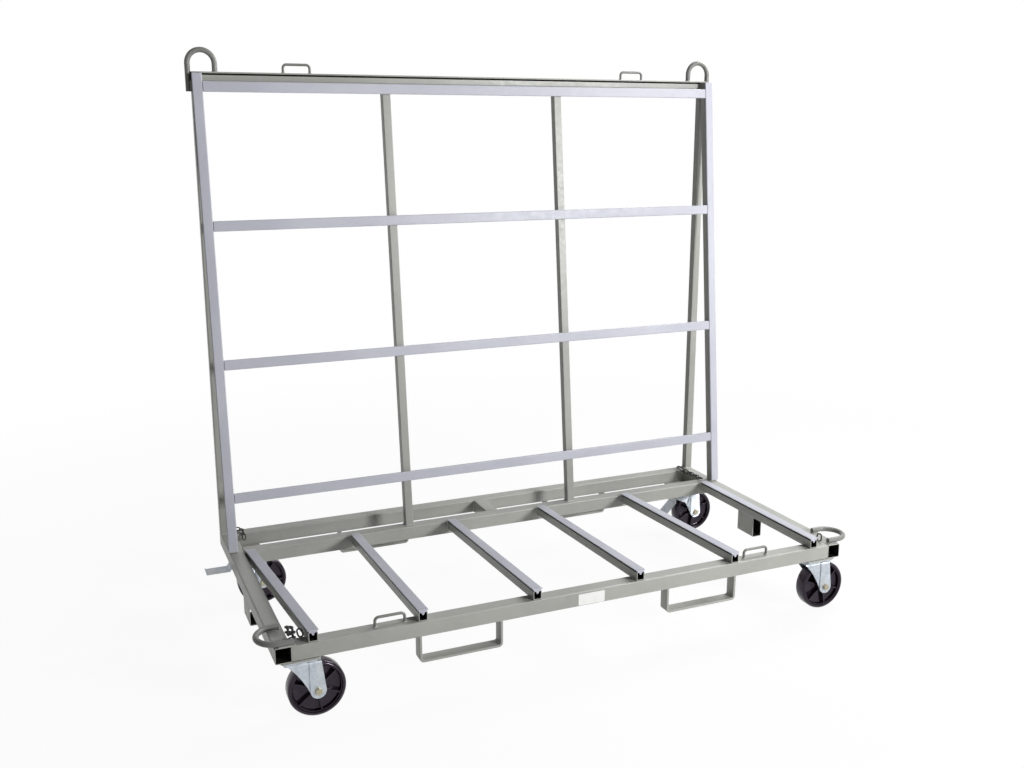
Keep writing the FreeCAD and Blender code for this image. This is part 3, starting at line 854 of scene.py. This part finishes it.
# lifting eyes and strap handles, bent from round bar
eye = {"bar": 18, "span": 88, "sides": 24, "steps": 24, "topOuter": 1009, "topPlane": 480,
       "tail": 1816, "crest": 1950, "topBeam": 1880}
frontEye = {
    "bar": 18, "level": 272, "rearArm": -372,
    "right": {"frontArm": -475, "reach": 1057, "ends": (963, 976)},
    "left": {"frontArm": -486, "reach": 1039, "ends": (941, 963)},
}
handle = {"rod": 9, "sides": 16, "steps": 8, "span": 92, "height": 33, "bend": 12}
handleRows = {
    "top_strap_handles": {"middles": (-648, 661), "plane": 480, "level": 1880},
    "front_strap_handles": {"middles": (-652, 655), "plane": -470, "level": 263},
}


def topEyes():
    bend = eye["span"] / 2
    start = Vector((eye["topOuter"], eye["topPlane"], eye["tail"])) * mm
    rise = (eye["crest"] - bend - eye["tail"]) * mm
    drop = (eye["crest"] - bend - eye["topBeam"]) * mm
    centre = Vector((eye["topOuter"] - bend, eye["topPlane"], eye["crest"] - bend)) * mm
    ring = ringAt("top_lifting_eyes_bent", eye["bar"] / 2 * mm, eye["sides"], start)
    return bentBar(ring, [
        ("run", (0, 0, rise)),
        ("bend", centre, (0, 1, 0), math.pi, eye["steps"]),
        ("run", (0, 0, -drop)),
    ])


def frontEyeBar(side, sign):
    shape = frontEye[side]
    bend = (frontEye["rearArm"] - shape["frontArm"]) / 2
    near, far = shape["ends"]
    bendFrom = shape["reach"] - bend
    start = Vector((sign * near, shape["frontArm"], frontEye["level"])) * mm
    centre = Vector((sign * bendFrom, shape["frontArm"] + bend, frontEye["level"])) * mm
    ring = ringAt("front_eye_" + side, frontEye["bar"] / 2 * mm, eye["sides"], start, (0, math.pi / 2, 0))
    return bentBar(ring, [
        ("run", (sign * (bendFrom - near) * mm, 0, 0)),
        ("bend", centre, (0, 0, -sign), math.pi, eye["steps"]),
        ("run", (sign * (far - bendFrom) * mm, 0, 0)),
    ])


def frontEyes():
    return joinPieces("front_lifting_eyes_bent", [frontEyeBar("right", 1), frontEyeBar("left", -1)])


def strapHandle(middle, plane, level):
    left, right = (middle + side * handle["span"] / 2 for side in (-1, 1))
    crest = level + handle["height"] - handle["rod"] / 2
    ring = ringAt("strap_handle", handle["rod"] / 2 * mm, handle["sides"], Vector((left, plane, level)) * mm)
    return bentBar(ring, bridgeMoves(left, right, plane, level, crest, handle["bend"], handle["steps"]))


def handlePair(node):
    row = handleRows[node]
    handles = [strapHandle(middle, row["plane"], row["level"]) for middle in row["middles"]]
    return joinPieces(node + "_bent", handles)


def bothSides(piece):
    addModifier(piece, "MIRROR", use_axis=(True, False, False), use_mirror_merge=False)
    cleanMesh(piece)


bars = {"top_lifting_eyes": topEyes(), "front_lifting_eyes": frontEyes()}
for node in handleRows:
    bars[node] = handlePair(node)
bothSides(bars["top_lifting_eyes"])
for node, piece in bars.items():
    smooth(piece, 50, False)
    # the bent bars take the frame paint darkened as painted shade
    dress(piece, shadedBarCoat, "frame_paint", "frame", node)
print("eyes and handles bent")

# forklift loops, bent from flat bar
loop = {"bar": 8, "width": 272, "depth": 40, "drop": 87, "bend": 10, "offset": 431, "top": 213, "steps": 8,
        "edge": 1.2}
loopPlanes = {"front_fork_loops": -470, "rear_fork_loops": 470}


def forkLoop(name, plane):
    half = loop["width"] / 2 - loop["bar"] / 2
    low = loop["top"] - loop["drop"] + loop["bar"] / 2
    left, right = (loop["offset"] + side * half for side in (-1, 1))
    bpy.ops.object.select_all(action="DESELECT")
    bpy.ops.mesh.primitive_plane_add(size=1, location=Vector((left, plane, loop["top"])) * mm)
    ring = newest(name)
    ring.scale = (loop["bar"] * mm, loop["depth"] * mm, 1)
    settle(ring)
    openEdit(ring, "VERT", "SELECT")
    bpy.ops.mesh.bevel(offset=loop["edge"] * mm, segments=3, affect="VERTICES")
    bpy.ops.mesh.select_all(action="SELECT")
    bpy.ops.mesh.delete(type="ONLY_FACE")
    closeEdit()
    bentBar(ring, bridgeMoves(left, right, plane, loop["top"], low, loop["bend"], loop["steps"]))
    return ring


for node, plane in loopPlanes.items():
    piece = forkLoop(node + "_bent", plane)
    bothSides(piece)
    smooth(piece, 50, False)
    dress(piece, paintCoat, "frame_paint", "frame", node)
print("fork loops bent")

# caster wheel: one turned moulding, ribs on both faces
wheel = {"radius": 87.5, "half": 24, "lip": 75, "lipDepth": 5, "web": 5, "pocketOut": 72, "hub": 23,
         "hubHalf": 28, "bore": 9.05, "boreEdge": 0.8, "ribs": 6, "rib": 5, "ribEdge": 1.2, "bite": 1,
         "turnSteps": 96, "turns": {"front_left": 39, "front_right": 41, "rear_left": 55, "rear_right": 22}}
# steps that round each corner of the wheel's face, outwards and up from the corner
wheelSteps = {
    "hubTop": ((-2, 0), (0, -2)),
    "hubFoot": ((0.8, 5), (2.4, 1.6), (5, 0)),
    "pocketFoot": ((-5, 0), (-1.5, 1.5), (0, 5)),
    "ledge": ((0.6, -1), (1.6, 0)),
    "lipFoot": ((-1, 0), (0, 1)),
    "lipTop": ((0.6, -1.2), (1.8, 0)),
    "tread": ((-7.5, 0), (-5, -1.2), (-1.4, -4.4), (0, -8)),
}
caster = {"x": 925, "y": 425, "trail": 54}
axleSpot = Vector((caster["trail"], 0, wheel["radius"])) * mm


def wheelFace(sign):
    w, ledge = wheel, wheel["half"] - wheel["lipDepth"]
    places = {
        "hubTop": (w["hub"], w["hubHalf"]), "hubFoot": (w["hub"], w["web"]),
        "pocketFoot": (w["pocketOut"], w["web"]), "ledge": (w["pocketOut"], ledge),
        "lipFoot": (w["lip"], ledge), "lipTop": (w["lip"], w["half"]), "tread": (w["radius"], w["half"]),
    }
    line = [(w["bore"], w["hubHalf"] - w["boreEdge"]), (w["bore"] + w["boreEdge"], w["hubHalf"])]
    for corner, (radius, level) in places.items():
        line += [(radius + out, level + up) for out, up in wheelSteps[corner]]
    return [(radius, sign * level) for radius, level in line]


def makeWheel():
    profile = wheelFace(-1) + [(wheel["radius"], 0)] + wheelFace(1)[::-1]
    profile.append(profile[0])
    points = [Vector((radius, y, 0)) * mm for radius, y in profile]
    body = turned("wheel_body", points, (0, 0, 0), (0, 1, 0), wheel["turnSteps"])
    ribs = [body]
    bite, half = wheel["bite"], wheel["rib"] / 2
    ledge = wheel["half"] - wheel["lipDepth"]
    for i in range(wheel["ribs"]):
        turn = 2 * math.pi * i / wheel["ribs"]
        for sign in (-1, 1):
            low, high = sorted((sign * (wheel["web"] - bite), sign * ledge))
            near = Vector((wheel["hub"], low, -half)) * mm
            far = Vector((wheel["lip"] - bite, high, half)) * mm
            rib = cube("wheel_rib", near, far)
            roundEdges(rib, wheel["ribEdge"] * mm)
            rib.rotation_euler = (0, turn, 0)
            settle(rib)
            ribs.append(rib)
    made = joinPieces("wheel_moulding", ribs)
    smooth(made, 35, False)
    return made


def casterSpot(corner):
    x = -caster["x"] if "left" in corner else caster["x"]
    y = -caster["y"] if "front" in corner else caster["y"]
    return Vector((x, y, 0)) * mm


spots = {corner: casterSpot(corner) for corner in corners}
firstWheel = makeWheel()
for corner in corners:
    turn = (0, -math.radians(wheel["turns"][corner]), 0)
    piece = copyTo(firstWheel, corner + "_wheel_moulded", spots[corner] + axleSpot, turn)
    dress(piece, wheelCoat, "wheel_black", corner + "_wheel", corner + "_wheel")
bpy.data.objects.remove(firstWheel)
print("wheels turned")


# caster fork: two bent channels cut to the leg's outline, the strap standing proud of the gusset
fork = {
    "sheet": 4, "half": 36, "bend": 10, "bendSteps": 6, "top": 186, "crown": 44, "crownTop": 189.6,
    "heel": -40, "toe": 66, "round": 24, "belly": (3, 135), "roundFrom": 207, "roundTo": 366,
    "curveSteps": 24, "strapLeft": 30, "strapStep": 3, "axleHole": 6.05, "pinHole": 6.05, "pinDepth": 30,
    "edge": 0.9, "edgeAngle": 32, "flatAngle": 0.5, "reach": 300, "over": 1, "near": 1, "rodSides": 32,
    "pivot": (-42, 165), "ear": 10, "pivotHole": 4.05,
}


def arcThrough(first, middle, last, steps):
    (ax, ay), (bx, by), (cx, cy) = first, middle, last
    area = 2 * (ax * (by - cy) + bx * (cy - ay) + cx * (ay - by))
    a2, b2, c2 = ax * ax + ay * ay, bx * bx + by * by, cx * cx + cy * cy
    centreX = (a2 * (by - cy) + b2 * (cy - ay) + c2 * (ay - by)) / area
    centreY = (a2 * (cx - bx) + b2 * (ax - cx) + c2 * (bx - ax)) / area
    radius = math.hypot(ax - centreX, ay - centreY)
    angles = [math.atan2(y - centreY, x - centreX) for x, y in (first, last)]
    sweepBy = (angles[1] - angles[0] + math.pi) % (2 * math.pi) - math.pi
    turns = [angles[0] + sweepBy * i / steps for i in range(steps + 1)]
    return [(centreX + radius * math.cos(turn), centreY + radius * math.sin(turn)) for turn in turns]


def arcAround(centre, radius, first, last, steps):
    turns = [math.radians(first + (last - first) * i / steps) for i in range(steps + 1)]
    return [(centre[0] + radius * math.cos(turn), centre[1] + radius * math.sin(turn)) for turn in turns]


def slabFrom(name, outline, half):
    return pushed(name, [(x, -half, z) for x, z in outline], (0, 2 * half, 0))


def combine(piece, other, operation):
    addModifier(piece, "BOOLEAN", operation=operation, object=other, solver="EXACT")
    bpy.data.objects.remove(other)


def roundRod(name, radius, half, centre, axis):
    bpy.ops.object.select_all(action="DESELECT")
    turn = (math.pi / 2, 0, 0) if axis == "y" else (0, 0, 0)
    bpy.ops.mesh.primitive_cylinder_add(vertices=fork["rodSides"], radius=radius * mm, depth=2 * half * mm,
                                        location=Vector(centre) * mm, rotation=turn)
    piece = newest(name)
    settle(piece)
    return piece


def bentBlock(name, low, high, bend):
    piece = cube(name, Vector(low) * mm, Vector(high) * mm)
    openEdit(piece, "EDGE")
    bendLevel = (high[2] - fork["near"]) * mm
    chooseEdges(piece, lambda middle, way: abs(way.x) > facing and middle.z > bendLevel)
    bpy.ops.mesh.bevel(offset=bend * mm, segments=fork["bendSteps"])
    closeEdit()
    return piece


def forkChannel(half, left, right):
    reach, sheet, over, top = (fork[key] for key in ("reach", "sheet", "over", "top"))
    channel = bentBlock("fork_channel", (left, -half, -reach), (right, half, top), fork["bend"])
    low = (left - over, sheet - half, -reach - over)
    high = (right + over, half - sheet, top - sheet)
    cavity = bentBlock("fork_cavity", low, high, fork["bend"] - sheet)
    combine(channel, cavity, "DIFFERENCE")
    return channel


def forkOutline():
    axle = (caster["trail"], wheel["radius"])
    foot = arcAround(axle, fork["round"], fork["roundFrom"], fork["roundTo"], fork["curveSteps"])
    flank = arcThrough((fork["heel"], fork["top"]), fork["belly"], foot[0], fork["curveSteps"])
    return flank[:-1] + foot + [(fork["toe"], fork["top"])]


def makeFork(braked):
    half, reach, top = fork["half"], fork["reach"], fork["top"]
    wide = half + fork["over"]
    pivotX, pivotZ = fork["pivot"]
    outline = slabFrom("fork_outline", forkOutline(), wide)
    if braked:
        ear, shoulder = fork["ear"], top - fork["bend"]
        lugLine = [(pivotX, pivotZ + ear), (fork["heel"], shoulder), (0, shoulder), fork["belly"],
                   (pivotX, pivotZ - ear)]
        lug = slabFrom("fork_lug", lugLine, wide)
        combine(lug, roundRod("lug_eye", ear, wide, (pivotX, 0, pivotZ), "y"), "UNION")
        combine(outline, lug, "UNION")
    made = forkChannel(half, fork["strapLeft"], reach)
    gusset = forkChannel(half - fork["strapStep"], -reach, fork["strapLeft"] + fork["sheet"])
    combine(made, gusset, "UNION")
    combine(made, outline, "INTERSECT")
    crownMiddle, crownHalf = (fork["crownTop"] + top) / 2, (fork["crownTop"] - top) / 2
    crown = roundRod("fork_crown", fork["crown"], crownHalf, (0, 0, crownMiddle), "z")
    combine(made, crown, "UNION")
    combine(made, roundRod("king_hole", fork["pinHole"], fork["pinDepth"], (0, 0, top), "z"), "DIFFERENCE")
    axle = (caster["trail"], 0, wheel["radius"])
    combine(made, roundRod("axle_hole", fork["axleHole"], 2 * half, axle, "y"), "DIFFERENCE")
    if braked:
        hole = roundRod("pivot_hole", fork["pivotHole"], 2 * half, (pivotX, 0, pivotZ), "y")
        combine(made, hole, "DIFFERENCE")
    mergeFlats(made, 2 * mergeGap, fork["flatAngle"])
    roundEdges(made, fork["edge"] * mm, 3, fork["edgeAngle"])
    smooth(made, 35)
    return made


for braked in (False, True):
    firstFork = makeFork(braked)
    for corner in corners[2:] if braked else corners[:2]:
        piece = copyTo(firstFork, corner + "_fork_pressed", spots[corner])
        dress(piece, zincCoat, "zinc", corner + "_fork", corner + "_fork")
    bpy.data.objects.remove(firstFork)
print("forks pressed")

# chains and their fittings: the solid's links fattened, then subdivided to round wire
linkWork = {"fatten": 1.5, "levels": 2, "quadAngle": 60}


def roundedLinks(node, name):
    piece = looseCopy(node, name)
    openEdit(piece, "VERT", "SELECT")
    bpy.ops.mesh.remove_doubles(threshold=mergeGap)
    angle = math.radians(linkWork["quadAngle"])
    bpy.ops.mesh.tris_convert_to_quads(face_threshold=angle, shape_threshold=angle)
    bpy.ops.transform.shrink_fatten(value=linkWork["fatten"] * mm)
    closeEdit()
    addModifier(piece, "SUBSURF", levels=linkWork["levels"], render_levels=linkWork["levels"])
    smooth(piece, 80, False)
    return piece


dress(roundedLinks("chains", "chains_linked"), chainCoat, "chain_black", "frame", "chains")
dress(roundedLinks("chain_fittings", "chain_fittings_bent"), chainCoat, "zinc", "frame", "chain_fittings")
print("chains rounded")

# weld beads, one rippled length copied to each seam, and collars round the bars' feet
weld = {"radius": 2.7, "ripple": 0.6, "pitch": 1.9, "sides": 8,
        "collar": 2.4, "collarGap": 0.6, "collarSteps": 20}
deck, under, topLine = 263, 213, 1850
ways = {"x": (0, 0, 0), "y": (0, 0, math.pi / 2), "z": (0, math.pi / 2, 0)}
mirroredSeams = [
    (30, "x", (985, 465, deck)), (30, "y", (970, 480, deck)), (30, "y", (970, 286, deck)),
    (30, "x", (985, 301, deck)), (30, "x", (985, 465, topLine)), (30, "y", (970, 480, topLine)),
    (22, "z", (970, 465, 1862)), (44, "z", (950, -445, 238)), (44, "z", (950, 267, 238)),
    (44, "z", (950, 317, 238)), (44, "z", (950, 445, 238)), (44, "z", (25, 317, 238)),
    (44, "z", (25, 445, 238)), (100, "y", (955, 0, under)), (100, "y", (995, 0, under)),
    (80, "x", (907, -445, under)), (80, "x", (907, 445, under)), (80, "y", (950, -400, under)),
    (80, "y", (950, 400, under)), (34, "z", (1002, 473, 1834)), (34, "z", (1002, 487, 1834)),
]
singleSeams = [
    (34, "x", (981, -482, deck)), (34, "x", (981, -468, deck)), (22, "x", (988, -379, deck)),
    (22, "x", (988, -365, deck)), (44, "x", (-966, -493, deck)), (44, "x", (-966, -479, deck)),
    (34, "x", (-981, -379, deck)), (34, "x", (-981, -365, deck)), (12, "y", (963, -475, deck)),
    (12, "y", (976, -372, deck)), (12, "y", (-941, -486, deck)), (12, "y", (-963, -372, deck)),
]
for x in (-341, 327):
    singleSeams += [(30, "y", (x - 15, 301, deck)), (30, "y", (x + 15, 301, deck)), (30, "x", (x, 286, deck))]
for x in strip["rears"]:
    singleSeams += [(22, "z", (x + side * rail["half"], strip["rear"], 249)) for side in (-1, 1)]
for x in (295, 303, 559, 567):
    mirroredSeams += [(34, "y", (x, plane, under)) for plane in loopPlanes.values()]
footRings = []
for node in ("front_strap_handles", "top_strap_handles"):
    row = handleRows[node]
    for middle in row["middles"]:
        feet = [middle + side * handle["span"] / 2 for side in (-1, 1)]
        footRings += [((x, row["plane"], row["level"]), handle["rod"] / 2) for x in feet]
for side in (-1, 1):
    foot = (side * (eye["topOuter"] - eye["span"]), eye["topPlane"], eye["topBeam"])
    footRings.append((foot, eye["bar"] / 2))


def makeBead(length):
    count = int(length / weld["pitch"])
    points = [Vector((-length / 2, 0, 0)) * mm]
    for i in range(count):
        swell = weld["radius"] - weld["ripple"] * (i % 2)
        points.append(Vector(((i + 0.5) / count * length - length / 2, 0, swell)) * mm)
    points.append(Vector((length / 2, 0, 0)) * mm)
    bead = turned("weld_length", points, (0, 0, 0), (1, 0, 0), weld["sides"])
    smooth(bead, 60, False)
    return bead


def footRing(foot, radius):
    bpy.ops.object.select_all(action="DESELECT")
    around = (radius + weld["collarGap"]) * mm
    bpy.ops.mesh.primitive_torus_add(location=Vector(foot) * mm, major_radius=around,
                                     minor_radius=weld["collar"] * mm,
                                     major_segments=weld["collarSteps"], minor_segments=weld["sides"])
    ring = newest("weld_collar")
    settle(ring)
    smooth(ring, 60, False)
    return ring


otherSide = [(length, way, (-x, y, z)) for length, way, (x, y, z) in mirroredSeams]
seams = singleSeams + mirroredSeams + otherSide
lengths = {length: makeBead(length) for length in sorted({seam[0] for seam in seams})}
beads = []
for length, way, middle in seams:
    beads.append(copyTo(lengths[length], "weld_bead", Vector(middle) * mm, ways[way]))
beads += [footRing(*ring) for ring in footRings]
for bead in lengths.values():
    bpy.data.objects.remove(bead)
dress(joinPieces("weld_beads", beads), weldCoat, "frame_paint", "frame")
print("seams welded:", len(beads))

# blank plate on the front beam
blankPlate = {"left": -37, "right": 57, "low": 217, "high": 255, "face": -495, "thick": 0.9, "sink": 0.1,
              "corner": 3, "edge": 0.3}
low = Vector((blankPlate["left"], blankPlate["face"] - blankPlate["thick"], blankPlate["low"])) * mm
high = Vector((blankPlate["right"], blankPlate["face"] + blankPlate["sink"], blankPlate["high"])) * mm
plate = cube("blank_plate", low, high)
openEdit(plate, "EDGE")
chooseEdges(plate, lambda middle, way: abs(way.y) > facing)
bpy.ops.mesh.bevel(offset=blankPlate["corner"] * mm, segments=5)
closeEdit()
roundEdges(plate, blankPlate["edge"] * mm)
smooth(plate)
dress(plate, plateCoat, "frame_paint", "frame")
print("blank plate fitted")
